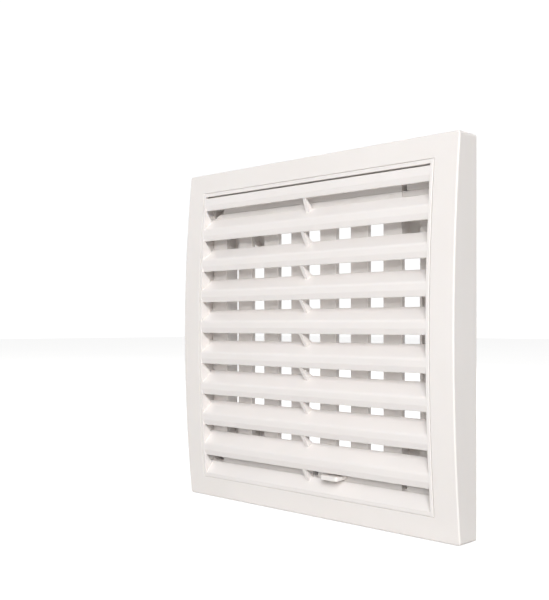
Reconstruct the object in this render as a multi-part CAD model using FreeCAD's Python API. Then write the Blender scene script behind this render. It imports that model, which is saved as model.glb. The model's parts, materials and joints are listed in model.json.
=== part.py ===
import FreeCAD, Part
import math
import os

# A square wall grille with fixed louvres and a sliding shutter behind them.
# Millimetres. X runs across the grille, Y points into the wall, Z is up.
# The origin is the centre of the grille on the wall plane, Y = 0.

# ---- Frame moulding -------------------------------------------------------
HALF_SIZE = 104.0            # half of the outer square
EDGE_DEPTH = 15.0            # depth of the side faces at the top and bottom edges
BOW = 5.8                    # how far the front stands out at mid height
SKIN = 2.0                   # wall thickness of the bezel and its skirt
OUTER_EDGE_RADIUS = 0.9      # rounding where the front meets the sides
CORNER_RADIUS = 1.6          # rounding of the four depth edges
WELL_HALF_X = 89.4           # the well that the louvre insert sits in
WELL_HALF_Z = 91.5
WELL_WALL = 1.6
MOUTH_EDGE_RADIUS = 0.35     # rounding of the two edges that make the seam

FLOOR_Y = -8.0               # front face of the well floor and of the back grid
FLOOR_THICKNESS = 1.5
DUCT_HALF = 75.0             # clear half width of the square rear collar
COLLAR_WALL = 2.0

WEB_COUNT = 5                # stiffening webs along each side, between skirt and well wall
WEB_SPACING = 40.0
WEB_THICKNESS = 1.2

HOLE_X = 60.0                # wall screw holes, in the well floor
HOLE_Z = 86.3
HOLE_RADIUS = 2.25
BOSS_RADIUS = 4.3            # also half the width of the pad that carries the boss

# ---- Back grid and shutter ------------------------------------------------
SLOT_COUNT = 7
SLOT_PITCH = 23.1
SLOT_WIDTH = 10.8
BAR_WIDTH = SLOT_PITCH - SLOT_WIDTH
LONG_SLOT = 67.0             # half heights of the slots
SECOND_SLOT_LEFT = 57.5
SECOND_SLOT_TOP = 57.7       # its top end slants down from here, at the slot's left edge
SECOND_SLOT_SLANT = 14.0     # to this much lower at its right edge
OUTER_SLOT = 48.0

SHUTTER_FRONT_Y = -9.5
SHUTTER_REAR_Y = -8.1
SHUTTER_HALF_Z = 78.0
SHUTTER_GAP_HALF_Z = 70.0
SHUTTER_CORNER_RADIUS = 7.0  # of the two left corners
SHUTTER_SMALL_RADIUS = 0.8   # of the two right corners
SHUTTER_TRAVEL = SLOT_PITCH / 2
EJECTOR_MARK_RADIUS = 2.2
EJECTOR_MARK_DEPTH = 0.3
EJECTOR_MARK_X = 69.6        # from the middle of the shutter
EJECTOR_MARK_Z = 75.0

POCKET_WALL = 1.0
SLOT_POCKET_REAR_Y = -1.0    # rear of the pockets that close the slots at their ends
FLOOR_POCKET_REAR_Y = -1.0   # rear of the closed pockets in the well floor
FLOOR_POCKET_FAR_Z = 81.3

LEDGE_GAP = 0.12
LEDGE_HEIGHT = 4.2
LEDGE_FRONT_Y = -9.4
LEDGE_LEFT_X = -78.0
LEDGE_END_RADIUS = 2.4
POCKET_LEFT_X = 63.9         # pocket in the floor that parts each ledge in two
POCKET_RIGHT_X = 67.3
CORNER_POCKET_LEFT_X = -88.0   # pockets at the left ends of both ledges
MIDDLE_POCKET_LEFT_X = -0.4    # pocket in the bottom ledge, left of the finger tab
MIDDLE_POCKET_RIGHT_X = 3.8
STOP_WIDTH = 1.5
STOP_HALF_Z = 22.0
STOP_GAP = 0.12

TAB_WIDTH = 12.5
TAB_OFFSET = 31.2            # from the middle of the shutter
TAB_TOP_Z = -78.5
TAB_REAR_THICKNESS = 1.9
TAB_FRONT_THICKNESS = 2.6
TAB_FRONT_Y = -18.8
TAB_CORNER_RADIUS = 1.5
TAB_FLANGE_THICKNESS = 1.4   # upright part, on the front of the shutter's bottom rail
TAB_FLANGE_TOP_Z = -75.0

# ---- Louvre insert --------------------------------------------------------
SIDE_SEAM = 0.3              # gap between the insert and the bezel at the left and right
END_SEAM = 0.14              # and at the top and bottom, where the clips draw it tight
INSERT_HALF_X = WELL_HALF_X - SIDE_SEAM
INSERT_HALF_Z = WELL_HALF_Z - END_SEAM
SIDE_THICKNESS = 1.9
SIDE_INNER_X = INSERT_HALF_X - SIDE_THICKNESS
RAIL_HEIGHT = 2.26
RAIL_REAR_Y = -10.5
RIM_DEPTH = 2.2

BLADE_COUNT = 10
BLADE_PITCH = 19.67
FIRST_LIP_Z = 80.05          # underside of the top blade
LIP_HEIGHT = 3.3
LIP_SETBACK = 0.9
FACE_SETBACK = 0.1
CREST_HEIGHT = 7.6           # corner between the blade's face and its slope
BLADE_REAR_Y = -9.8
BLADE_HEIGHT = 15.0          # from the underside to the rear edge, halfway up the grille
REAR_LEAN = 0.0075           # the rear edge is this much lower per mm above halfway
BLADE_SKIN = 1.9
REAR_THINNING = 0.2          # the blade's skin is this much thinner at its rear edge
INNER_CORNER_HEIGHT = 7.0
CREST_RADIUS = 2.6
LIP_RADIUS = 1.2
SMALL_RADIUS = 0.35
TOP_BLADE_HEIGHT = 8.05      # the top blade stops here, 1 mm under the rail
TOP_BLADE_FLANGE = 1.5

STRUT_X = -1.2               # the struts stand a little left of the middle
STRUT_THICKNESS = 2.2
STRUT_TOP_WIDTH = 1.0
STRUT_FOOT_FRONT = 0.60      # foot of the strut, as shares of the blade's depth
STRUT_FOOT_REAR = 0.97
GUSSET_FOOT_REAR = 0.78
GUSSET_SETBACK = 1.0         # the gusset starts this far behind the crest

CLIP_X = 45.0
CLIP_HALF_WIDTH = 6.0
CLIP_THICKNESS = 1.2
CLIP_REAR_Y = -8.3
CLIP_BUMP = 0.08             # height of the snap bump, less than the seam
CLIP_BUMP_HALF_LENGTH = 0.7

FRONT_RADIUS = (HALF_SIZE ** 2 + BOW ** 2) / (2 * BOW)
FRONT_CENTRE_Y = -EDGE_DEPTH - BOW + FRONT_RADIUS

FLOOR_REAR_Y = FLOOR_Y + FLOOR_THICKNESS
INNER_HALF = HALF_SIZE - SKIN
WELL_OUTER_X = WELL_HALF_X + WELL_WALL
WELL_OUTER_Z = WELL_HALF_Z + WELL_WALL
LEDGE_NEAR_Z = SHUTTER_HALF_Z + LEDGE_GAP
LEDGE_FAR_Z = LEDGE_NEAR_Z + LEDGE_HEIGHT

FAR_FRONT_Y = -2 * EDGE_DEPTH    # ahead of the whole grille, where cutting blocks start
CUT_MARGIN = 1.0                 # cutting blocks run this far past what they cut
TOLERANCE = 0.01                 # for picking edges by their boxes
FRONT_BAND_Y = -EDGE_DEPTH + 0.5   # every edge of the front lies ahead of this


# ---- Helpers --------------------------------------------------------------
def front_y(z):
    """Y of the bowed front surface at height z."""
    return FRONT_CENTRE_Y - math.sqrt(FRONT_RADIUS ** 2 - z ** 2)


def box(x_low, x_high, y_low, y_high, z_low, z_high):
    corner = FreeCAD.Vector(x_low, y_low, z_low)
    return Part.makeBox(x_high - x_low, y_high - y_low, z_high - z_low, corner)


def rounded_wire(corners):
    """Closed wire through corners, each a (vector, radius) pair."""
    count = len(corners)
    edges = []
    stretches = []
    for index, (corner, radius) in enumerate(corners):
        before = corners[index - 1][0]
        after = corners[(index + 1) % count][0]
        to_before = (before - corner).normalize()
        to_after = (after - corner).normalize()
        if radius <= 0:
            stretches.append((corner, None, corner))
            continue
        half_angle = to_before.getAngle(to_after) / 2
        reach = radius / math.tan(half_angle)
        start = corner + to_before * reach
        end = corner + to_after * reach
        middle_direction = (to_before + to_after).normalize()
        centre = corner + middle_direction * (radius / math.sin(half_angle))
        middle = centre - middle_direction * radius
        stretches.append((start, middle, end))
    for index, (start, middle, end) in enumerate(stretches):
        if middle is not None:
            edges.append(Part.Arc(start, middle, end).toShape())
        following = stretches[(index + 1) % count][0]
        if end.distanceToPoint(following) > 1e-6:
            edges.append(Part.LineSegment(end, following).toShape())
    return Part.Wire(edges)


def side_prism(outline, x_low, x_high):
    """Extrudes an outline of (y, z, radius) rows along X."""
    corners = [(FreeCAD.Vector(x_low, y, z), radius) for y, z, radius in outline]
    face = Part.Face(rounded_wire(corners))
    return face.extrude(FreeCAD.Vector(x_high - x_low, 0, 0))


def front_prism(outline, y_low, y_high):
    """Extrudes an outline of (x, z, radius) rows along Y."""
    corners = [(FreeCAD.Vector(x, y_low, z), radius) for x, z, radius in outline]
    face = Part.Face(rounded_wire(corners))
    return face.extrude(FreeCAD.Vector(0, y_high - y_low, 0))


def bowed_block(x_low, x_high, z_low, z_high, inset, rear_y):
    """Block whose front face lies inset behind the bowed front surface."""
    radius = FRONT_RADIUS - inset
    axis_start = FreeCAD.Vector(x_low, FRONT_CENTRE_Y, 0)
    drum = Part.makeCylinder(radius, x_high - x_low, axis_start, FreeCAD.Vector(1, 0, 0))
    slab = box(x_low, x_high, FAR_FRONT_Y, rear_y, z_low, z_high)
    return slab.common(drum)


def cylinder_y(x, z, radius, y_low, y_high):
    start = FreeCAD.Vector(x, y_low, z)
    return Part.makeCylinder(radius, y_high - y_low, start, FreeCAD.Vector(0, 1, 0))


def edges_where(shape, test):
    return [edge for edge in shape.Edges if test(edge.BoundBox)]


def lies_at_x(bounds, half):
    """True for an edge in one of the two planes X = half and X = -half."""
    return bounds.XLength < TOLERANCE and abs(abs(bounds.XMin) - half) < TOLERANCE


def lies_at_z(bounds, half):
    """True for an edge in one of the two planes Z = half and Z = -half."""
    return bounds.ZLength < TOLERANCE and abs(abs(bounds.ZMin) - half) < TOLERANCE


def save(name, shape):
    solids = shape.removeSplitter() if len(shape.Solids) == 1 else shape
    for solid in solids.Solids:
        if not solid.isValid() or solid.Volume <= 0:
            raise ValueError("bad solid in " + name)
    solids.exportStep("parts/" + name + ".step")


# ---- Frame moulding -------------------------------------------------------
def outer_bezel():
    size = HALF_SIZE
    body = bowed_block(-size, size, -size, size, 0.0, 0.0)

    def depth_edge(bounds):
        return bounds.XLength < TOLERANCE and bounds.ZLength < TOLERANCE

    body = body.makeFillet(CORNER_RADIUS, edges_where(body, depth_edge))

    near_side = size - CORNER_RADIUS - TOLERANCE

    def front_rim(bounds):
        ahead = bounds.YMax < FRONT_BAND_Y
        at_side = bounds.XMin > near_side or bounds.XMax < -near_side
        at_end = bounds.ZMin > near_side or bounds.ZMax < -near_side
        return ahead and (at_side or at_end)

    body = body.makeFillet(OUTER_EDGE_RADIUS, edges_where(body, front_rim))

    inner = INNER_HALF
    cavity = bowed_block(-inner, inner, -inner, inner, SKIN, CUT_MARGIN)
    wall_x = WELL_OUTER_X
    wall_z = WELL_OUTER_Z
    well_wall = bowed_block(-wall_x, wall_x, -wall_z, wall_z, SKIN / 2, FLOOR_Y)
    body = body.cut(cavity).fuse(well_wall)
    well = box(-WELL_HALF_X, WELL_HALF_X, FAR_FRONT_Y, CUT_MARGIN, -WELL_HALF_Z, WELL_HALF_Z)
    body = body.cut(well).removeSplitter()

    def mouth(bounds):
        ahead = bounds.YMax < FRONT_BAND_Y
        return ahead and (lies_at_x(bounds, WELL_HALF_X) or lies_at_z(bounds, WELL_HALF_Z))

    return body.makeFillet(MOUTH_EDGE_RADIUS, edges_where(body, mouth))


def boss_pad(x, sign):
    """Stretch of the well floor that belongs to a screw boss."""
    low, high = sorted((sign * (HOLE_Z - BOSS_RADIUS), sign * WELL_OUTER_Z))
    return box(x - BOSS_RADIUS, x + BOSS_RADIUS, FLOOR_Y, FLOOR_REAR_Y, low, high)


def screw_bosses(sign):
    """Two bosses: each a pad in the well floor with a tube behind it that reaches the wall."""
    bosses = []
    for x in (-HOLE_X, HOLE_X):
        tube = cylinder_y(x, sign * HOLE_Z, BOSS_RADIUS, FLOOR_REAR_Y, 0.0)
        hole = cylinder_y(x, sign * HOLE_Z, HOLE_RADIUS, FAR_FRONT_Y, CUT_MARGIN)
        bosses.append(boss_pad(x, sign).fuse(tube).cut(hole).removeSplitter())
    return Part.makeCompound(bosses)


def floor_pockets(sign):
    """Left, right and inner edges of the closed pockets in the well floor at one end."""
    pockets = [(POCKET_LEFT_X, POCKET_RIGHT_X, LEDGE_NEAR_Z),
               (CORNER_POCKET_LEFT_X, LEDGE_LEFT_X, DUCT_HALF + POCKET_WALL)]
    if sign < 0:
        pockets.append((MIDDLE_POCKET_LEFT_X, MIDDLE_POCKET_RIGHT_X, LEDGE_NEAR_Z))
    return pockets


def floor_strip_end(sign):
    """Well floor above or below the duct opening, with pockets, notched for two screw bosses."""
    low, high = sorted((sign * DUCT_HALF, sign * WELL_OUTER_Z))
    strip = box(-WELL_OUTER_X, WELL_OUTER_X, FLOOR_Y, FLOOR_REAR_Y, low, high)
    for x in (-HOLE_X, HOLE_X):
        strip = strip.cut(boss_pad(x, sign))
    wall = POCKET_WALL
    for left, right, near in floor_pockets(sign):
        low, high = sorted((sign * near, sign * FLOOR_POCKET_FAR_Z))
        shell = box(left - wall, right + wall, FLOOR_REAR_Y, FLOOR_POCKET_REAR_Y,
                    low - wall, high + wall)
        hollow = box(left, right, FAR_FRONT_Y, FLOOR_POCKET_REAR_Y - wall, low, high)
        strip = strip.fuse(shell).cut(hollow)
    return strip


def floor_strip_side(sign):
    """Well floor left or right of the duct opening."""
    slots_edge = (SLOT_COUNT - 1) / 2 * SLOT_PITCH + SLOT_WIDTH / 2
    low, high = sorted((sign * slots_edge, sign * WELL_OUTER_X))
    return box(low, high, FLOOR_Y, FLOOR_REAR_Y, -DUCT_HALF, DUCT_HALF)


def web_places():
    return [(index - (WEB_COUNT - 1) / 2) * WEB_SPACING for index in range(WEB_COUNT)]


def webs_end(sign):
    """Webs above or below the well, from its wall to the skirt."""
    half = WEB_THICKNESS / 2
    low, high = sorted((sign * WELL_OUTER_Z, sign * INNER_HALF))
    webs = [bowed_block(x - half, x + half, low, high, SKIN, FLOOR_REAR_Y) for x in web_places()]
    return Part.makeCompound(webs)


def webs_side(sign):
    """Webs left or right of the well, from its wall to the skirt."""
    half = WEB_THICKNESS / 2
    low, high = sorted((sign * WELL_OUTER_X, sign * INNER_HALF))
    webs = [bowed_block(low, high, z - half, z + half, SKIN, FLOOR_REAR_Y) for z in web_places()]
    return Part.makeCompound(webs)


def collar_end(sign):
    low, high = sorted((sign * DUCT_HALF, sign * (DUCT_HALF + COLLAR_WALL)))
    reach = DUCT_HALF + COLLAR_WALL
    return box(-reach, reach, FLOOR_REAR_Y, 0.0, low, high)


def collar_side(sign):
    low, high = sorted((sign * DUCT_HALF, sign * (DUCT_HALF + COLLAR_WALL)))
    return box(low, high, FLOOR_REAR_Y, 0.0, -DUCT_HALF, DUCT_HALF)


def slot_x(index):
    return (index - (SLOT_COUNT - 1) / 2) * SLOT_PITCH


def slot_half_height(index):
    if index in (0, SLOT_COUNT - 1):
        return OUTER_SLOT
    if index == 1:
        return SECOND_SLOT_LEFT
    return LONG_SLOT


def grid_bar(index):
    """Fixed bar between slot index and the next one."""
    centre = slot_x(index) + SLOT_PITCH / 2
    half = BAR_WIDTH / 2
    return box(centre - half, centre + half, FLOOR_Y, FLOOR_REAR_Y, -DUCT_HALF, DUCT_HALF)


def slot_end(index, sign):
    """Pocket that closes a slot at one end; it is open to the front and runs to the collar."""
    left = slot_x(index) - SLOT_WIDTH / 2
    right = left + SLOT_WIDTH
    near_left = sign * slot_half_height(index)
    near_right = near_left
    if index == 1 and sign > 0:
        near_left = SECOND_SLOT_TOP
        near_right = SECOND_SLOT_TOP - SECOND_SLOT_SLANT
    far = sign * DUCT_HALF
    past = sign * (DUCT_HALF + CUT_MARGIN)
    step = sign * POCKET_WALL
    outer_left = max(left - POCKET_WALL, -DUCT_HALF)
    outer_right = min(right + POCKET_WALL, DUCT_HALF)
    shell = front_prism([(outer_left, near_left, 0), (outer_right, near_right, 0),
                         (outer_right, far, 0), (outer_left, far, 0)],
                        FLOOR_REAR_Y, SLOT_POCKET_REAR_Y)
    hollow = front_prism([(left, near_left + step, 0), (right, near_right + step, 0),
                          (right, past, 0), (left, past, 0)],
                         FLOOR_REAR_Y - CUT_MARGIN, SLOT_POCKET_REAR_Y - POCKET_WALL)
    return shell.cut(hollow)


def slot_ends(sign):
    return Part.makeCompound([slot_end(index, sign) for index in range(SLOT_COUNT)])


def shutter_ledge(sign):
    """Guide that the shutter's rail slides along, parted where a pocket crosses it."""
    near = sign * LEDGE_NEAR_Z
    far = sign * LEDGE_FAR_Z
    outline = [(LEDGE_LEFT_X, near, 0), (LEDGE_LEFT_X, far, LEDGE_END_RADIUS),
               (WELL_HALF_X, far, 0), (WELL_HALF_X, near, 0)]
    ledge = front_prism(outline, LEDGE_FRONT_Y, FLOOR_Y)
    low, high = sorted((near, far))
    past = CUT_MARGIN
    for left, right, _ in floor_pockets(sign):
        ledge = ledge.cut(box(left, right, FAR_FRONT_Y, FLOOR_Y + past, low - past, high + past))
    return Part.makeCompound(ledge.Solids)


def end_stop(side):
    """Stop at the open (left) or closed (right) end of the shutter's travel."""
    half_width = shutter_half_width()
    if side == "open":
        high = -SHUTTER_TRAVEL - half_width - STOP_GAP
        low = high - STOP_WIDTH
    else:
        low = half_width + STOP_GAP
        high = low + STOP_WIDTH
    return box(low, high, LEDGE_FRONT_Y, FLOOR_Y, -STOP_HALF_Z, STOP_HALF_Z)


# ---- Shutter, shown open --------------------------------------------------
def shutter_half_width():
    return (SLOT_COUNT - 1) / 2 * SLOT_PITCH + BAR_WIDTH / 2


def shutter_bar(index):
    centre = slot_x(index) - SHUTTER_TRAVEL
    half = BAR_WIDTH / 2
    gap_end = SHUTTER_GAP_HALF_Z
    return box(centre - half, centre + half, SHUTTER_FRONT_Y, SHUTTER_REAR_Y, -gap_end, gap_end)


def shutter_rail(sign):
    half = shutter_half_width()
    left = -SHUTTER_TRAVEL - half
    right = -SHUTTER_TRAVEL + half
    inner = sign * SHUTTER_GAP_HALF_Z
    outer = sign * SHUTTER_HALF_Z
    outline = [(left, inner, 0), (left, outer, SHUTTER_CORNER_RADIUS),
               (right, outer, SHUTTER_SMALL_RADIUS), (right, inner, 0)]
    rail = front_prism(outline, SHUTTER_FRONT_Y, SHUTTER_REAR_Y)
    for offset in (-EJECTOR_MARK_X, EJECTOR_MARK_X):
        x = offset - SHUTTER_TRAVEL
        floor = SHUTTER_FRONT_Y + EJECTOR_MARK_DEPTH
        mark = cylinder_y(x, sign * EJECTOR_MARK_Z, EJECTOR_MARK_RADIUS, FAR_FRONT_Y, floor)
        rail = rail.cut(mark)
    return rail


def finger_tab():
    """Finger plate, thicker at its front, and the flange that joins it to the bottom rail."""
    centre = TAB_OFFSET - SHUTTER_TRAVEL
    left = centre - TAB_WIDTH / 2
    right = centre + TAB_WIDTH / 2
    low = TAB_TOP_Z - TAB_REAR_THICKNESS
    tab = side_prism([(TAB_FRONT_Y, TAB_TOP_Z - TAB_FRONT_THICKNESS, 0), (TAB_FRONT_Y, TAB_TOP_Z, 0),
                      (SHUTTER_FRONT_Y, TAB_TOP_Z, 0), (SHUTTER_FRONT_Y, low, 0)], left, right)

    def front_corner(bounds):
        at_front = bounds.YMax < TAB_FRONT_Y + TOLERANCE
        return at_front and bounds.ZLength > TAB_FRONT_THICKNESS - TOLERANCE

    tab = tab.makeFillet(TAB_CORNER_RADIUS, edges_where(tab, front_corner))

    def front_rim(bounds):
        at_front = bounds.YMin < TAB_FRONT_Y + TAB_CORNER_RADIUS / 2
        return at_front and bounds.XLength > TOLERANCE

    plate = tab.makeFillet(SMALL_RADIUS, edges_where(tab, front_rim))
    flange_front = SHUTTER_FRONT_Y - TAB_FLANGE_THICKNESS
    flange = box(left, right, flange_front, SHUTTER_FRONT_Y, low, TAB_FLANGE_TOP_Z)
    return plate.fuse(flange)


# ---- Louvre insert --------------------------------------------------------
def lip_z(index):
    """Height of the underside of blade index, counted from 0 at the top."""
    return FIRST_LIP_Z - index * BLADE_PITCH


def crest(lip):
    z = lip + CREST_HEIGHT
    return front_y(z) + FACE_SETBACK, z


def rear_top_z(index):
    """Height of the rear edge of blade index."""
    lip = lip_z(index)
    return lip + BLADE_HEIGHT - REAR_LEAN * lip


def slope_z(y, index):
    """Height of a blade's sloping top at depth y."""
    crest_y, crest_z = crest(lip_z(index))
    rise = (rear_top_z(index) - crest_z) / (BLADE_REAR_Y - crest_y)
    return crest_z + (y - crest_y) * rise


def slope_y(z, index):
    """Depth of a blade's sloping top at height z."""
    crest_y, crest_z = crest(lip_z(index))
    run = (BLADE_REAR_Y - crest_y) / (rear_top_z(index) - crest_z)
    return crest_y + (z - crest_z) * run


def slope_point(index, share):
    """Depth and height of a blade's sloping top, at a share of the way from crest to rear edge."""
    crest_y = crest(lip_z(index))[0]
    y = crest_y + share * (BLADE_REAR_Y - crest_y)
    return y, slope_z(y, index)


def blade_outline(index):
    lip = lip_z(index)
    lip_top = lip + LIP_HEIGHT
    lip_front = (front_y(lip) + LIP_SETBACK, lip, SMALL_RADIUS)
    face_low = (front_y(lip_top) + FACE_SETBACK, lip_top, LIP_RADIUS)
    lip_rear_y = front_y(lip) + FACE_SETBACK + BLADE_SKIN
    if index == 0:
        top = lip + TOP_BLADE_HEIGHT
        under = top - TOP_BLADE_FLANGE
        return [lip_front, face_low, (front_y(top) + FACE_SETBACK, top, SMALL_RADIUS),
                (RAIL_REAR_Y, top, SMALL_RADIUS), (RAIL_REAR_Y, under, SMALL_RADIUS),
                (lip_rear_y, under, SMALL_RADIUS), (lip_rear_y, lip, SMALL_RADIUS)]
    rear_top = rear_top_z(index)
    if index == BLADE_COUNT - 1:
        foot = RAIL_HEIGHT - INSERT_HALF_Z
        foot_y = slope_y(foot, index)
        return [(foot_y, foot, 0), (BLADE_REAR_Y, rear_top, SMALL_RADIUS),
                (BLADE_REAR_Y, rear_top - BLADE_SKIN, SMALL_RADIUS), (foot_y + BLADE_SKIN, foot, 0)]
    crest_y, crest_z = crest(lip)
    return [lip_front, face_low, (crest_y, crest_z, CREST_RADIUS),
            (BLADE_REAR_Y, rear_top, SMALL_RADIUS),
            (BLADE_REAR_Y, rear_top - BLADE_SKIN + REAR_THINNING, SMALL_RADIUS),
            (lip_rear_y, lip + INNER_CORNER_HEIGHT, LIP_RADIUS),
            (lip_rear_y, lip, SMALL_RADIUS)]


def louvre_blade(index):
    return side_prism(blade_outline(index), -SIDE_INNER_X, SIDE_INNER_X)


def strut_outline(index):
    """Slanted strut that ties blade index to the one below it."""
    lip = lip_z(index)
    front = front_y(lip) + LIP_SETBACK + SMALL_RADIUS
    return [(front, lip, 0), (front + STRUT_TOP_WIDTH, lip, 0),
            (*slope_point(index + 1, STRUT_FOOT_REAR), 0),
            (*slope_point(index + 1, STRUT_FOOT_FRONT), 0)]


def centre_rib():
    struts = []
    half = STRUT_THICKNESS / 2
    for index in range(BLADE_COUNT - 1):
        struts.append(side_prism(strut_outline(index), STRUT_X - half, STRUT_X + half))
    return Part.makeCompound(struts)


def insert_side(sign):
    """End plate of the insert: a thin rim, the blade ends and a gusset in each opening."""
    low, high = sorted((sign * SIDE_INNER_X, sign * INSERT_HALF_X))
    end = INSERT_HALF_Z
    plate = bowed_block(low, high, -end, end, 0.0, RAIL_REAR_Y)
    past = end + CUT_MARGIN
    behind_rim = bowed_block(low - CUT_MARGIN, high + CUT_MARGIN, -past, past, RIM_DEPTH, 0.0)
    plate = plate.cut(behind_rim)
    for z_low in (-end, end - RAIL_HEIGHT):
        plate = plate.fuse(bowed_block(low, high, z_low, z_low + RAIL_HEIGHT, 0.0, RAIL_REAR_Y))
    for index in range(BLADE_COUNT):
        plate = plate.fuse(side_prism(blade_outline(index), low, high))
    for index in range(BLADE_COUNT - 1):
        lip = lip_z(index)
        crest_y, crest_z = crest(lip_z(index + 1))
        rear = front_y(lip) + FACE_SETBACK + BLADE_SKIN - SMALL_RADIUS
        front = front_y(lip) + LIP_SETBACK + SMALL_RADIUS
        gusset = [(crest_y + GUSSET_SETBACK, crest_z, 0), (front, lip, 0),
                  (rear, lip, 0), (*slope_point(index + 1, GUSSET_FOOT_REAR), 0)]
        plate = plate.fuse(side_prism(gusset, low, high))
    plate = plate.removeSplitter()

    def outer_rim(bounds):
        ahead = bounds.YMax < -EDGE_DEPTH
        return ahead and lies_at_x(bounds, INSERT_HALF_X) and bounds.ZLength > end

    return plate.makeFillet(MOUTH_EDGE_RADIUS, edges_where(plate, outer_rim))


def insert_rail(sign):
    end = INSERT_HALF_Z
    low, high = sorted((sign * end, sign * (end - RAIL_HEIGHT)))
    rail = bowed_block(-SIDE_INNER_X, SIDE_INNER_X, low, high, 0.0, RAIL_REAR_Y)

    def outer_rim(bounds):
        ahead = bounds.YMax < -EDGE_DEPTH
        return ahead and lies_at_z(bounds, end) and bounds.XLength > end

    return rail.makeFillet(MOUTH_EDGE_RADIUS, edges_where(rail, outer_rim))


def clip_tongues(sign):
    """Two tongues behind a rail, each with a small snap bump that faces the well wall."""
    outer = sign * INSERT_HALF_Z
    inner = outer - sign * CLIP_THICKNESS
    tongues = []
    for x in (-CLIP_X, CLIP_X):
        low, high = sorted((inner, outer))
        tongue = box(x - CLIP_HALF_WIDTH, x + CLIP_HALF_WIDTH, RAIL_REAR_Y, CLIP_REAR_Y, low, high)
        bump_y = (RAIL_REAR_Y + CLIP_REAR_Y) / 2
        bump = [(bump_y - CLIP_BUMP_HALF_LENGTH, outer, 0),
                (bump_y, outer + sign * CLIP_BUMP, 0),
                (bump_y + CLIP_BUMP_HALF_LENGTH, outer, 0)]
        wedge = side_prism(bump, x - CLIP_HALF_WIDTH, x + CLIP_HALF_WIDTH)
        tongues.append(tongue.fuse(wedge).removeSplitter())
    return Part.makeCompound(tongues)


def main():
    os.makedirs("parts", exist_ok=True)
    save("outer_bezel", outer_bezel())
    for name, sign in (("top", 1), ("bottom", -1)):
        save("well_floor_" + name, floor_strip_end(sign))
        save("screw_bosses_" + name, screw_bosses(sign))
        save("duct_collar_" + name, collar_end(sign))
        save("slot_ends_" + name, slot_ends(sign))
        save("rear_webs_" + name, webs_end(sign))
        save("shutter_ledge_" + name, shutter_ledge(sign))
        save("shutter_rail_" + name, shutter_rail(sign))
        save("insert_rail_" + name, insert_rail(sign))
        save("clip_tongues_" + name, clip_tongues(sign))
    for name, sign in (("left", -1), ("right", 1)):
        save("well_floor_" + name, floor_strip_side(sign))
        save("duct_collar_" + name, collar_side(sign))
        save("rear_webs_" + name, webs_side(sign))
        save("insert_side_" + name, insert_side(sign))
    for index in range(SLOT_COUNT - 1):
        save("grid_bar_" + str(index + 1), grid_bar(index))
    for index in range(SLOT_COUNT):
        save("shutter_bar_" + str(index + 1), shutter_bar(index))
    for side in ("open", "closed"):
        save("end_stop_" + side, end_stop(side))
    save("finger_tab", finger_tab())
    for index in range(BLADE_COUNT):
        save("louvre_blade_{:02d}".format(index + 1), louvre_blade(index))
    save("centre_rib", centre_rib())


main()
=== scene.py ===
import json
import math

import bmesh
import bpy
from mathutils import Matrix, Vector


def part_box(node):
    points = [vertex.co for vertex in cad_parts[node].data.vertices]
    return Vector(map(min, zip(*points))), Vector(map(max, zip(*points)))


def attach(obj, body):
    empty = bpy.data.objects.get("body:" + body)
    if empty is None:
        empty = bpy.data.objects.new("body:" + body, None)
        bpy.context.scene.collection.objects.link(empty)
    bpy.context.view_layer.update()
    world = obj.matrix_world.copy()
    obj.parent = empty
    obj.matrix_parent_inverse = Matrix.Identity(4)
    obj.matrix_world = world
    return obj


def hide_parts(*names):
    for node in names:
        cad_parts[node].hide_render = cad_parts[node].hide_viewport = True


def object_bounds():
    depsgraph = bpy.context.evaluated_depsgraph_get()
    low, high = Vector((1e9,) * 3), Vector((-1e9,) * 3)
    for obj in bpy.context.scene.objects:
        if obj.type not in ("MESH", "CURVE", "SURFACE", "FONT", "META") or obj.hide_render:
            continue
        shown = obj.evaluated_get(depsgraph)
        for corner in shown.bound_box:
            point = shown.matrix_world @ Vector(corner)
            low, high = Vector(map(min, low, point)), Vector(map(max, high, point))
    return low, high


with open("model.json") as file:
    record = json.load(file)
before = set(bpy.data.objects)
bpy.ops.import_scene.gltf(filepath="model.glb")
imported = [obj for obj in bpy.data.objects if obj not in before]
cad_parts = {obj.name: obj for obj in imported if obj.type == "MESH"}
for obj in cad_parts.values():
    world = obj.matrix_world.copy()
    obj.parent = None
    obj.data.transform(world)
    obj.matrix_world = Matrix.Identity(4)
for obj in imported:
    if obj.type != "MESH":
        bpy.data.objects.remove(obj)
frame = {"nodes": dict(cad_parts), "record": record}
cad_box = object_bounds()

# ---- Camera and light, in metres ------------------------------------------
CAMERA_PLACE = (0.3515, -0.3961, 0.0067)
CAMERA_YAW = 44.75            # degrees to the left of straight at the wall
CAMERA_LENS = 53.57           # millimetres, as is the sensor
CAMERA_SENSOR = 36.0          # along the picture's long side
CAMERA_NEAR = 0.01
CAMERA_RISE = 0.041           # share of the long side that the view is shifted up

KEY_PLACE = (1.85, -2.35, 1.30)
KEY_SIZE = 1.65
KEY_WATTS = 102.0
TOP_PLACE = (0.3, -0.9, 1.8)
TOP_SIZE = 1.2
TOP_WATTS = 4.5
BACK_PLACE = (-0.1, 1.7, 0.5)  # lights the rear, out of the camera's view
BACK_SIZE = 0.9
BACK_WATTS = 16.0
SKY_FILL = 0.12               # strength of the white surroundings as a light
SKY_SEEN = 1.05               # and as the camera sees them
FLOOR_GLOW = 0.85             # seen by the camera only
FLOOR_PALE = (0.64, 0.635, 0.625)
FLOOR_DEEP = (0.60, 0.595, 0.585)
FLOOR_ROUGHNESS = 0.9
FLOOR_MOTTLE_SCALE = 3.0
FLOOR_SIZE = 12.0
FLOOR_DROP = 0.0005           # gap under the grille, so that the faces don't meet
WHITE = (1.0, 1.0, 1.0, 1.0)

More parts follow.
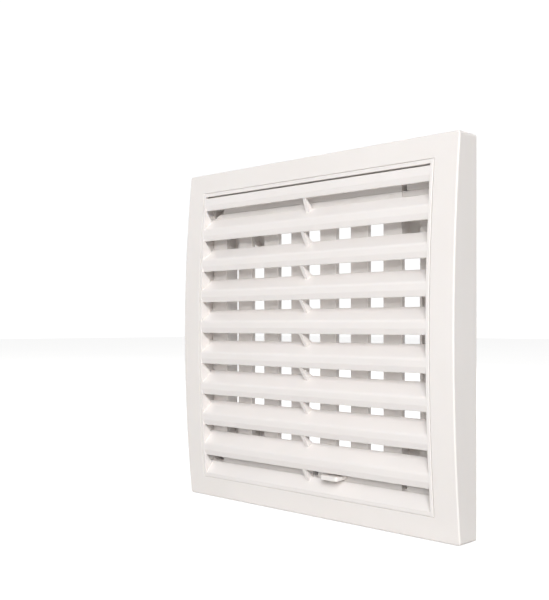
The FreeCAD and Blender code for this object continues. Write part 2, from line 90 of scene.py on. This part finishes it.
# ---- Plastic: lengths in metres, noise scales per metre --------------------
CLOUD_SCALE = 14.0            # broad changes of tint
WAVE_SCALE = 28.0             # sink waves in the flat faces
WAVE_HEIGHT = 0.0006
WAVE_STRENGTH = 0.12
GRAIN_SCALE = 2600.0          # fine grain of the mould
GRAIN_HEIGHT = 0.00004
GRAIN_STRENGTH = 0.35
SMEAR_SCALE = 55.0            # uneven gloss
SPECK_SCALE = 420.0           # broken edge of the painted corner shade
CORNER_SHADE_REACH = 0.004            # how far the painted shade comes out of a corner
# darker, warmer colour painted into corners and slits as shade
CORNER_SHADE_COLOUR = (0.80, 0.755, 0.715)
CORNER_OPEN = 0.95            # occlusion values where the painted corner shade begins
CORNER_DEEP = 0.35            # and where it is full
EDGE_RADIUS = 0.0004          # width of the edges that get a painted highlight and lower roughness
EDGE_START = 0.99             # cosine between rounded and true normal where an edge begins
EDGE_FULL = 0.80
EDGE_HIGHLIGHT_SHARE = 0.5             # share of pale plastic painted on edges as a highlight
RUBBED_POLISH = 0.08          # taken off the roughness there
PLASTIC_IOR = 1.5
PLASTIC_GLOW = 0.06           # share of light that scatters under the skin
PLASTIC_GLOW_DEPTH = 0.0012
PLASTIC_GLOW_COLOUR = (1.0, 0.8, 0.6)

# ---- Plates that stand for several CAD nodes, in metres --------------------
GRID_BARS = 6
SHUTTER_BARS = 7
ARC_STEPS = 6                 # points round each rounded corner, less one
CIRCLE_STEPS = 40
PLATE_EDGE = 0.00022          # rounding of the plates' edges
SLOT_CORNER = 0.0007
OUTER_CORNER = 0.0010
SHUTTER_CORNER = 0.0070       # the shutter's two left corners
SHUTTER_SMALL_CORNER = 0.0008
POCKET_WALL = 0.0010
POCKET_HEIGHT = 0.00318       # from the ledge's near edge to the pockets' outer edge
POCKET_WIDTH = 0.0034         # of the pockets between the two lengths of each ledge
CORNER_POCKET_WIDTH = 0.0100  # of the pockets at the left ends of both ledges
MIDDLE_POCKET_LEFT = -0.0004  # pocket in the bottom ledge, left of the finger tab
MIDDLE_POCKET_WIDTH = 0.0042
POCKET_CORNER = 0.0004
BOSS_RADIUS = 0.0043
MARK_RADIUS = 0.0022          # ejector marks
MARK_DEPTH = 0.0003
MARK_FROM_SIDE = 0.00585      # from the shutter's left or right edge
MARK_FROM_END = 0.0030        # from its top or bottom edge
RIM_RADIUS = 0.00010          # raised rim that the ejector pin leaves
REAR_MARK_RADIUS = 0.0030
REAR_MARK_DEPTH = 0.00015
REAR_MARK_SHARE = 0.7         # how far up a bar the outer marks are, as a share of its half
CAD_EDGE = 0.00018            # rounding of the small CAD nodes' edges
WELD_DISTANCE = 1e-6
SMOOTH_ANGLE = math.radians(38.0)


# ---- Materials ------------------------------------------------------------
def new_material(name):
    material = bpy.data.materials.new(name)
    material.use_nodes = True
    material.node_tree.nodes.clear()
    return material, material.node_tree


def noise(tree, coordinates, scale, detail, roughness=0.5):
    node = tree.nodes.new("ShaderNodeTexNoise")
    node.inputs["Scale"].default_value = scale
    node.inputs["Detail"].default_value = detail
    node.inputs["Roughness"].default_value = roughness
    tree.links.new(coordinates, node.inputs["Vector"])
    return node.outputs["Fac"]


def mapped(tree, factor, from_low, from_high, low, high):
    """Number that goes from low to high as factor goes from from_low to from_high."""
    node = tree.nodes.new("ShaderNodeMapRange")
    node.inputs["From Min"].default_value = from_low
    node.inputs["From Max"].default_value = from_high
    node.inputs["To Min"].default_value = low
    node.inputs["To Max"].default_value = high
    tree.links.new(factor, node.inputs["Value"])
    return node.outputs["Result"]


def blended(tree, factor, first, second):
    """Colour between first and second; each is a colour or another node's output."""
    node = tree.nodes.new("ShaderNodeMix")
    node.data_type = "RGBA"
    tree.links.new(factor, node.inputs["Factor"])
    for name, colour in (("A", first), ("B", second)):
        socket = next(each for each in node.inputs if each.name == name and each.type == "RGBA")
        if isinstance(colour, tuple):
            socket.default_value = (*colour, 1.0)
        else:
            tree.links.new(colour, socket)
    return next(each for each in node.outputs if each.type == "RGBA")


def bump(tree, height, distance, strength, under=None):
    node = tree.nodes.new("ShaderNodeBump")
    node.inputs["Distance"].default_value = distance
    node.inputs["Strength"].default_value = strength
    tree.links.new(height, node.inputs["Height"])
    if under is not None:
        tree.links.new(under, node.inputs["Normal"])
    return node.outputs["Normal"]


def in_corners(tree, reach):
    """0 on open faces, towards 1 deep in corners and slits."""
    node = tree.nodes.new("ShaderNodeAmbientOcclusion")
    node.samples = 6
    node.inputs["Distance"].default_value = reach
    return mapped(tree, node.outputs["AO"], CORNER_DEEP, CORNER_OPEN, 1.0, 0.0)


def on_edges(tree, radius):
    """0 on faces, 1 along convex and concave edges."""
    rounded = tree.nodes.new("ShaderNodeBevel")
    rounded.samples = 4
    rounded.inputs["Radius"].default_value = radius
    true_normal = tree.nodes.new("ShaderNodeNewGeometry").outputs["Normal"]
    dot = tree.nodes.new("ShaderNodeVectorMath")
    dot.operation = "DOT_PRODUCT"
    tree.links.new(rounded.outputs["Normal"], dot.inputs[0])
    tree.links.new(true_normal, dot.inputs[1])
    return mapped(tree, dot.outputs["Value"], EDGE_FULL, EDGE_START, 1.0, 0.0)


def moulded_plastic(name, pale, deep, roughness_low, roughness_high):
    """White ABS: mould grain, sink waves, uneven gloss and tint, painted shade in corners, painted
    highlight and less roughness on edges.
    """
    material, tree = new_material(name)
    output = tree.nodes.new("ShaderNodeOutputMaterial")
    plastic = tree.nodes.new("ShaderNodeBsdfPrincipled")
    tree.links.new(plastic.outputs["BSDF"], output.inputs["Surface"])
    place = tree.nodes.new("ShaderNodeTexCoord").outputs["Object"]

    clouds = mapped(tree, noise(tree, place, CLOUD_SCALE, 3.0), 0.3, 0.7, 0.0, 1.0)
    tint = blended(tree, clouds, deep, pale)
    # Painted shade: corners and slits, found by occlusion, get a darker, warmer colour with a
    # speckled edge.
    specks = mapped(tree, noise(tree, place, SPECK_SCALE, 5.0, 0.7), 0.45, 0.75, 0.25, 1.0)
    corner_shade = tree.nodes.new("ShaderNodeMath")
    corner_shade.operation = "MULTIPLY"
    tree.links.new(in_corners(tree, CORNER_SHADE_REACH), corner_shade.inputs[0])
    tree.links.new(specks, corner_shade.inputs[1])
    corner_shaded = blended(tree, corner_shade.outputs["Value"], tint, CORNER_SHADE_COLOUR)
    # Painted highlight: edges, convex and concave, are tinted towards the pale plastic; their
    # roughness is lowered too.
    edges = on_edges(tree, EDGE_RADIUS)
    edge_highlight = mapped(tree, edges, 0.0, 1.0, 0.0, EDGE_HIGHLIGHT_SHARE)
    tree.links.new(blended(tree, edge_highlight, corner_shaded, pale), plastic.inputs["Base Color"])

    smears = noise(tree, place, SMEAR_SCALE, 4.0, 0.6)
    gloss = mapped(tree, smears, 0.3, 0.7, roughness_low, roughness_high)
    polish = tree.nodes.new("ShaderNodeMath")
    polish.operation = "SUBTRACT"
    tree.links.new(gloss, polish.inputs[0])
    tree.links.new(mapped(tree, edges, 0.0, 1.0, 0.0, RUBBED_POLISH), polish.inputs[1])
    tree.links.new(polish.outputs["Value"], plastic.inputs["Roughness"])

    waves = bump(tree, noise(tree, place, WAVE_SCALE, 1.0), WAVE_HEIGHT, WAVE_STRENGTH)
    fine = noise(tree, place, GRAIN_SCALE, 2.0)
    grain = bump(tree, fine, GRAIN_HEIGHT, GRAIN_STRENGTH, waves)
    tree.links.new(grain, plastic.inputs["Normal"])

    plastic.inputs["IOR"].default_value = PLASTIC_IOR
    plastic.inputs["Subsurface Weight"].default_value = PLASTIC_GLOW
    plastic.inputs["Subsurface Radius"].default_value = PLASTIC_GLOW_COLOUR
    plastic.inputs["Subsurface Scale"].default_value = PLASTIC_GLOW_DEPTH
    return material


def make_looks():
    """One plastic for each body; they differ a little in tint and gloss."""
    return {
        "frame": moulded_plastic(
            "frame_plastic", (0.905, 0.868, 0.845), (0.885, 0.846, 0.820), 0.36, 0.46),
        "louvre_insert": moulded_plastic(
            "insert_plastic", (0.910, 0.872, 0.852), (0.890, 0.850, 0.828), 0.34, 0.44),
        "shutter": moulded_plastic(
            "shutter_plastic", (0.900, 0.862, 0.836), (0.880, 0.840, 0.810), 0.38, 0.48),
    }


def dress(looks):
    """Gives every CAD node the plastic of its body."""
    for body, names in frame["record"]["behaviour"]["bodies"].items():
        for name in names:
            node = frame["nodes"][name]
            node.data.materials.clear()
            node.data.materials.append(looks[body])


# ---- Plates with openings -------------------------------------------------
def span(*names):
    """Lowest and highest corners of some CAD nodes together."""
    boxes = [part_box(name) for name in names]
    low = Vector(min(values) for values in zip(*(box[0] for box in boxes)))
    high = Vector(max(values) for values in zip(*(box[1] for box in boxes)))
    return low, high


def numbered(stem, count):
    return ["{}_{}".format(stem, number) for number in range(1, count + 1)]


def rounded_rectangle(left, right, low, high, left_radius, right_radius):
    """Points round a rectangle in the XZ plane, with an arc of points at each corner."""
    corners = ((right, high, right_radius, 0.0), (left, high, left_radius, 90.0),
               (left, low, left_radius, 180.0), (right, low, right_radius, 270.0))
    points = []
    for x, z, radius, start in corners:
        centre_x = x - math.copysign(radius, x - (left + right) / 2)
        centre_z = z - math.copysign(radius, z - (low + high) / 2)
        for step in range(ARC_STEPS + 1):
            angle = math.radians(start + 90.0 * step / ARC_STEPS)
            points.append((centre_x + radius * math.cos(angle), centre_z + radius * math.sin(angle)))
    return points


def circle(x, z, radius):
    turns = [2 * math.pi * step / CIRCLE_STEPS for step in range(CIRCLE_STEPS)]
    return [(x + radius * math.cos(turn), z + radius * math.sin(turn)) for turn in turns]


def plate_mesh(loops, y_front, y_rear):
    """Mesh of a flat plate with rounded edges; the first loop is its outline, the rest are holes."""
    curve = bpy.data.curves.new("plate_outline", "CURVE")
    curve.dimensions = "2D"
    curve.fill_mode = "BOTH"
    curve.extrude = (y_rear - y_front) / 2 - PLATE_EDGE
    curve.bevel_depth = PLATE_EDGE
    curve.bevel_resolution = 2
    curve.offset = -PLATE_EDGE
    for loop in loops:
        spline = curve.splines.new("POLY")
        spline.points.add(len(loop) - 1)
        for point, (x, z) in zip(spline.points, loop):
            point.co = (x, z, 0.0, 1.0)
        spline.use_cyclic_u = True
    holder = bpy.data.objects.new("plate_outline", curve)
    mesh = bpy.data.meshes.new_from_object(holder)
    bpy.data.objects.remove(holder)
    bpy.data.curves.remove(curve)
    middle = Matrix.Translation((0.0, (y_front + y_rear) / 2, 0.0))
    mesh.transform(middle @ Matrix.Rotation(math.pi / 2, 4, "X"))
    return mesh


def drum_mesh(x, z, radius, y_front, y_rear):
    """Short cylinder that lies along Y."""
    work = bmesh.new()
    bmesh.ops.create_cone(work, cap_ends=True, segments=CIRCLE_STEPS, radius1=radius, radius2=radius,
                          depth=y_rear - y_front)
    middle = Matrix.Translation((x, (y_front + y_rear) / 2, z))
    bmesh.ops.transform(work, matrix=middle @ Matrix.Rotation(math.pi / 2, 4, "X"), verts=work.verts)
    mesh = bpy.data.meshes.new("drum")
    work.to_mesh(mesh)
    work.free()
    return mesh


def rim_mesh(x, y, z, radius):
    """Fine raised ring round an ejector mark."""
    curve = bpy.data.curves.new("rim", "CURVE")
    curve.dimensions = "3D"
    curve.bevel_depth = RIM_RADIUS
    curve.bevel_resolution = 2
    spline = curve.splines.new("POLY")
    spline.points.add(CIRCLE_STEPS - 1)
    for point, (ring_x, ring_z) in zip(spline.points, circle(x, z, radius)):
        point.co = (ring_x, y, ring_z, 1.0)
    spline.use_cyclic_u = True
    holder = bpy.data.objects.new("rim", curve)
    mesh = bpy.data.meshes.new_from_object(holder)
    bpy.data.objects.remove(holder)
    bpy.data.curves.remove(curve)
    return mesh


def joined(meshes):
    """One mesh from several, welded, with its normals outward."""
    work = bmesh.new()
    for mesh in meshes:
        work.from_mesh(mesh)
        bpy.data.meshes.remove(mesh)
    bmesh.ops.remove_doubles(work, verts=work.verts, dist=WELD_DISTANCE)
    bmesh.ops.recalc_face_normals(work, faces=work.faces)
    result = bpy.data.meshes.new("joined")
    work.to_mesh(result)
    work.free()
    return result


def carved(mesh, drums):
    """The mesh with the drums cut out of it."""
    body = bpy.data.objects.new("body", mesh)
    cutter = bpy.data.objects.new("cutter", joined(drums))
    for each in (body, cutter):
        bpy.context.scene.collection.objects.link(each)
    cut = body.modifiers.new("cut", "BOOLEAN")
    cut.operation = "DIFFERENCE"
    cut.solver = "EXACT"
    cut.object = cutter
    graph = bpy.context.evaluated_depsgraph_get()
    result = bpy.data.meshes.new_from_object(body.evaluated_get(graph))
    for each in (body, cutter):
        bpy.data.objects.remove(each)
    return result


def add_piece(name, mesh, body, look, replaced):
    """Puts a finished mesh in the scene in place of some CAD nodes, moving with their body."""
    mesh.name = name
    mesh.materials.clear()
    mesh.materials.append(look)
    mesh.shade_smooth()
    mesh.set_sharp_from_angle(angle=SMOOTH_ANGLE)
    piece = bpy.data.objects.new(name, mesh)
    bpy.context.scene.collection.objects.link(piece)
    flats = piece.modifiers.new("flat_faces", "WEIGHTED_NORMAL")
    flats.weight = 100
    flats.keep_sharp = True
    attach(piece, body)
    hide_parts(*replaced)
    return piece


def slot_sides():
    """Left and right edges of the slots in the back grid, from left to right."""
    sides = [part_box("well_floor_left")[1].x]
    for bar in numbered("grid_bar", GRID_BARS):
        low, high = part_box(bar)
        sides += [low.x, high.x]
    sides.append(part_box("well_floor_right")[0].x)
    return list(zip(sides[0::2], sides[1::2]))


def screw_places():
    """Middles of the four screw holes and their radius, from the part's record."""
    mounts = frame["record"]["mounts"]
    dims = next(mount["dims"] for mount in mounts if mount["name"] == "wall_screws")
    half_x = dims["spacing_x_mm"] / 2000
    half_z = dims["spacing_y_mm"] / 2000
    places = [(x, z) for x in (-half_x, half_x) for z in (-half_z, half_z)]
    return places, dims["hole_r_mm"] / 1000


def floor_pockets():
    """Left, right, low and high edges of the closed pockets in the well floor."""
    ledge_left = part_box("shutter_ledge_top")[0].x
    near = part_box("shutter_ledge_top")[0].z
    far = near + POCKET_HEIGHT
    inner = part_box("well_floor_left")[1].z + POCKET_WALL
    slim_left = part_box("shutter_rail_top")[1].x
    corner = (ledge_left - CORNER_POCKET_WIDTH, ledge_left, inner, far)
    slim = (slim_left, slim_left + POCKET_WIDTH, near, far)
    middle = (MIDDLE_POCKET_LEFT, MIDDLE_POCKET_LEFT + MIDDLE_POCKET_WIDTH, near, far)
    lower = [(left, right, -high, -low) for left, right, low, high in (corner, slim, middle)]
    return [corner, slim, *lower]


def pocket_cup(left, right, low, high, y_front, y_rear):
    """Wall and bottom of one pocket, behind the plate."""
    wall = POCKET_WALL
    outside = rounded_rectangle(left - wall, right + wall, low - wall, high + wall,
                                OUTER_CORNER, OUTER_CORNER)
    inside = rounded_rectangle(left, right, low, high, POCKET_CORNER, POCKET_CORNER)
    return [plate_mesh([outside, inside], y_front, y_rear - wall),
            plate_mesh([outside], y_rear - wall, y_rear)]


def back_plate(look):
    """Well floor and back grid in one plate, with slots, pockets, screw holes and bosses."""
    bars = numbered("grid_bar", GRID_BARS)
    floors = ["well_floor_" + side for side in ("top", "bottom", "left", "right")]
    bosses = ["screw_bosses_top", "screw_bosses_bottom"]
    low, high = span(*floors)
    rear_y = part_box(bars[0])[1].y
    loops = [rounded_rectangle(low.x, high.x, low.z, high.z, OUTER_CORNER, OUTER_CORNER)]
    bar_low, bar_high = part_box(bars[0])
    for left, right in slot_sides():
        loops.append(rounded_rectangle(left, right, bar_low.z, bar_high.z, SLOT_CORNER, SLOT_CORNER))
    pockets = floor_pockets()
    loops += [rounded_rectangle(*pocket, POCKET_CORNER, POCKET_CORNER) for pocket in pockets]
    places, hole_radius = screw_places()
    loops += [circle(x, z, hole_radius) for x, z in places]
    plate = plate_mesh(loops, low.y, rear_y)
    marks = []
    for bar in bars[1::3]:
        bar_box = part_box(bar)
        x = (bar_box[0].x + bar_box[1].x) / 2
        for z in (bar_low.z * REAR_MARK_SHARE, 0.0, bar_high.z * REAR_MARK_SHARE):
            marks.append(drum_mesh(x, z, REAR_MARK_RADIUS, rear_y - REAR_MARK_DEPTH,
                                   rear_y + REAR_MARK_DEPTH))
    meshes = [carved(plate, marks)]
    for pocket in pockets:
        meshes += pocket_cup(*pocket, rear_y, high.y)
    wall_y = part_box(bosses[0])[1].y
    for x, z in places:
        meshes.append(plate_mesh([circle(x, z, BOSS_RADIUS), circle(x, z, hole_radius)],
                                 rear_y, wall_y))
    add_piece("back_plate", joined(meshes), "frame", look, bars + floors + bosses)


def duct_collar(look):
    """Square collar behind the grid, one closed ring."""
    names = ["duct_collar_" + side for side in ("top", "bottom", "left", "right")]
    low, high = span(*names)
    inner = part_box("duct_collar_top")[0].z
    loops = [rounded_rectangle(low.x, high.x, low.z, high.z, OUTER_CORNER, OUTER_CORNER),
             rounded_rectangle(-inner, inner, -inner, inner, SLOT_CORNER, SLOT_CORNER)]
    mesh = joined([plate_mesh(loops, low.y, high.y)])
    add_piece("duct_collar", mesh, "frame", look, names)


def shutter_plate(look):
    """The sliding shutter in one plate, with its windows and four ejector marks."""
    bars = numbered("shutter_bar", SHUTTER_BARS)
    rails = ["shutter_rail_top", "shutter_rail_bottom"]
    low, high = span(*bars, *rails)
    loops = [rounded_rectangle(low.x, high.x, low.z, high.z, SHUTTER_CORNER, SHUTTER_SMALL_CORNER)]
    bar_boxes = [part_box(bar) for bar in bars]
    for (near, before), (after, far) in zip(bar_boxes[:-1], bar_boxes[1:]):
        loops.append(rounded_rectangle(before.x, after.x, near.z, far.z, SLOT_CORNER, SLOT_CORNER))
    plate = plate_mesh(loops, low.y, high.y)
    places = [(x, z) for x in (low.x + MARK_FROM_SIDE, high.x - MARK_FROM_SIDE)
              for z in (low.z + MARK_FROM_END, high.z - MARK_FROM_END)]
    marks = [drum_mesh(x, z, MARK_RADIUS, low.y - MARK_DEPTH, low.y + MARK_DEPTH) for x, z in places]
    rims = [rim_mesh(x, low.y, z, MARK_RADIUS) for x, z in places]
    mesh = joined([carved(plate, marks), *rims])
    add_piece("shutter_plate", mesh, "shutter", look, bars + rails)


def soften(names):
    """Rounds the edges of CAD nodes that stay."""
    for name in names:
        node = frame["nodes"][name]
        weld = node.modifiers.new("weld", "WELD")
        weld.merge_threshold = WELD_DISTANCE
        edge = node.modifiers.new("edge", "BEVEL")
        edge.width = CAD_EDGE
        edge.segments = 3
        edge.limit_method = "ANGLE"
        edge.angle_limit = SMOOTH_ANGLE
        edge.harden_normals = True


# ---- Floor, light, camera -------------------------------------------------
def make_floor():
    low = cad_box[0][2] - FLOOR_DROP
    bpy.ops.mesh.primitive_plane_add(size=FLOOR_SIZE, location=(0.0, 0.0, low))
    floor = bpy.context.object
    floor.name = "floor"
    material, tree = new_material("pale_floor")
    output = tree.nodes.new("ShaderNodeOutputMaterial")
    paint = tree.nodes.new("ShaderNodeBsdfPrincipled")
    paint.inputs["Roughness"].default_value = FLOOR_ROUGHNESS
    paint.inputs["Emission Color"].default_value = WHITE
    seen = tree.nodes.new("ShaderNodeLightPath").outputs["Is Camera Ray"]
    glow = mapped(tree, seen, 0.0, 1.0, 0.0, FLOOR_GLOW)
    tree.links.new(glow, paint.inputs["Emission Strength"])
    place = tree.nodes.new("ShaderNodeTexCoord").outputs["Object"]
    mottle = mapped(tree, noise(tree, place, FLOOR_MOTTLE_SCALE, 2.0), 0.3, 0.7, 0.0, 1.0)
    tree.links.new(blended(tree, mottle, FLOOR_DEEP, FLOOR_PALE), paint.inputs["Base Color"])
    tree.links.new(paint.outputs["BSDF"], output.inputs["Surface"])
    floor.data.materials.append(material)


def make_world():
    """White surroundings: plain white to the eye, softer as a light."""
    world = bpy.data.worlds.new("studio")
    bpy.context.scene.world = world
    world.use_nodes = True
    tree = world.node_tree
    tree.nodes.clear()
    output = tree.nodes.new("ShaderNodeOutputWorld")
    mix = tree.nodes.new("ShaderNodeMixShader")
    path = tree.nodes.new("ShaderNodeLightPath")
    tree.links.new(path.outputs["Is Camera Ray"], mix.inputs["Fac"])
    for socket, strength in ((1, SKY_FILL), (2, SKY_SEEN)):
        sky = tree.nodes.new("ShaderNodeBackground")
        sky.inputs["Color"].default_value = WHITE
        sky.inputs["Strength"].default_value = strength
        tree.links.new(sky.outputs["Background"], mix.inputs[socket])
    tree.links.new(mix.outputs["Shader"], output.inputs["Surface"])


def area_light(name, place, size, watts):
    """Square soft light aimed at the grille's middle."""
    data = bpy.data.lights.new(name, "AREA")
    data.shape = "SQUARE"
    data.size = size
    data.energy = watts
    light = bpy.data.objects.new(name, data)
    light.location = place
    aim = -Vector(place)
    light.rotation_euler = aim.to_track_quat("-Z", "Y").to_euler()
    bpy.context.scene.collection.objects.link(light)


def make_camera():
    data = bpy.data.cameras.new("camera")
    data.lens = CAMERA_LENS
    data.sensor_width = CAMERA_SENSOR
    data.sensor_fit = "AUTO"
    data.shift_y = CAMERA_RISE
    data.clip_start = CAMERA_NEAR
    camera = bpy.data.objects.new("camera", data)
    camera.location = CAMERA_PLACE
    camera.rotation_euler = (math.radians(90.0), 0.0, math.radians(CAMERA_YAW))
    bpy.context.scene.collection.objects.link(camera)
    bpy.context.scene.camera = camera


looks = make_looks()
dress(looks)
back_plate(looks["frame"])
duct_collar(looks["frame"])
shutter_plate(looks["shutter"])
soften(["shutter_ledge_top", "shutter_ledge_bottom", "end_stop_open", "end_stop_closed",
        "slot_ends_top", "slot_ends_bottom", "rear_webs_top", "rear_webs_bottom",
        "rear_webs_left", "rear_webs_right", "clip_tongues_top", "clip_tongues_bottom"])
make_floor()
make_world()
area_light("key", KEY_PLACE, KEY_SIZE, KEY_WATTS)
area_light("top", TOP_PLACE, TOP_SIZE, TOP_WATTS)
area_light("back", BACK_PLACE, BACK_SIZE, BACK_WATTS)
make_camera()
bpy.context.scene.view_settings.view_transform = "Standard"
